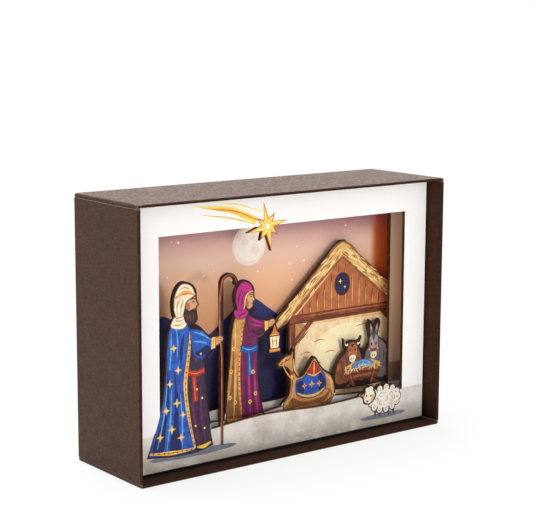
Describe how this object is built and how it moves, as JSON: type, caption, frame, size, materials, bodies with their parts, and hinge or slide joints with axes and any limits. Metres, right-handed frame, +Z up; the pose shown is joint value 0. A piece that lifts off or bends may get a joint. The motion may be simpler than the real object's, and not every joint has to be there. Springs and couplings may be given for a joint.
{
  "type": "retablo box",
  "caption": "Paper-covered shadow box, open at the front, with a layered laser-cut scene of shepherds, a stable and animals set back behind a white mat.",
  "frame": {"origin": "middle of the underside", "axes": "+Z up, the open front faces -Y, +X to the right as seen from the front"},
  "size_m": [0.2, 0.06, 0.14],
  "materials": {
    "linen_paper": "matt linen-embossed",
    "greyboard": "matt",
    "spacer_card": "matt",
    "mat_print": "matt print, burnt cut edge",
    "middle_print": "matt print, burnt cut edge",
    "stable_print": "matt print, burnt cut edge",
    "sky_print": "matt print",
    "manger_print": "matt print, burnt cut edge",
    "foam_pad": "matt"
  },
  "bodies": {
    "root": {"back_board": "greyboard", "back_wrap": "linen_paper", "backdrop": "sky_print", "bottom_board": "greyboard", "bottom_wrap": "linen_paper", "front_mat": "mat_print", "left_board": "greyboard", "left_wrap": "linen_paper", "manger_group": "manger_print", "manger_pads": "foam_pad", "middle_panel": "middle_print", "right_board": "greyboard", "right_wrap": "linen_paper", "spacer_1_bottom": "spacer_card", "spacer_1_left": "spacer_card", "spacer_1_right": "spacer_card", "spacer_1_top": "spacer_card", "spacer_2_bottom": "spacer_card", "spacer_2_left": "spacer_card", "spacer_2_right": "spacer_card", "spacer_2_top": "spacer_card", "spacer_3_bottom": "spacer_card", "spacer_3_left": "spacer_card", "spacer_3_right": "spacer_card", "spacer_3_top": "spacer_card", "spacer_4_bottom": "spacer_card", "spacer_4_left": "spacer_card", "spacer_4_right": "spacer_card", "spacer_4_top": "spacer_card", "stable_panel": "stable_print", "top_board": "greyboard", "top_wrap": "linen_paper"}
  },
  "joints": []
}
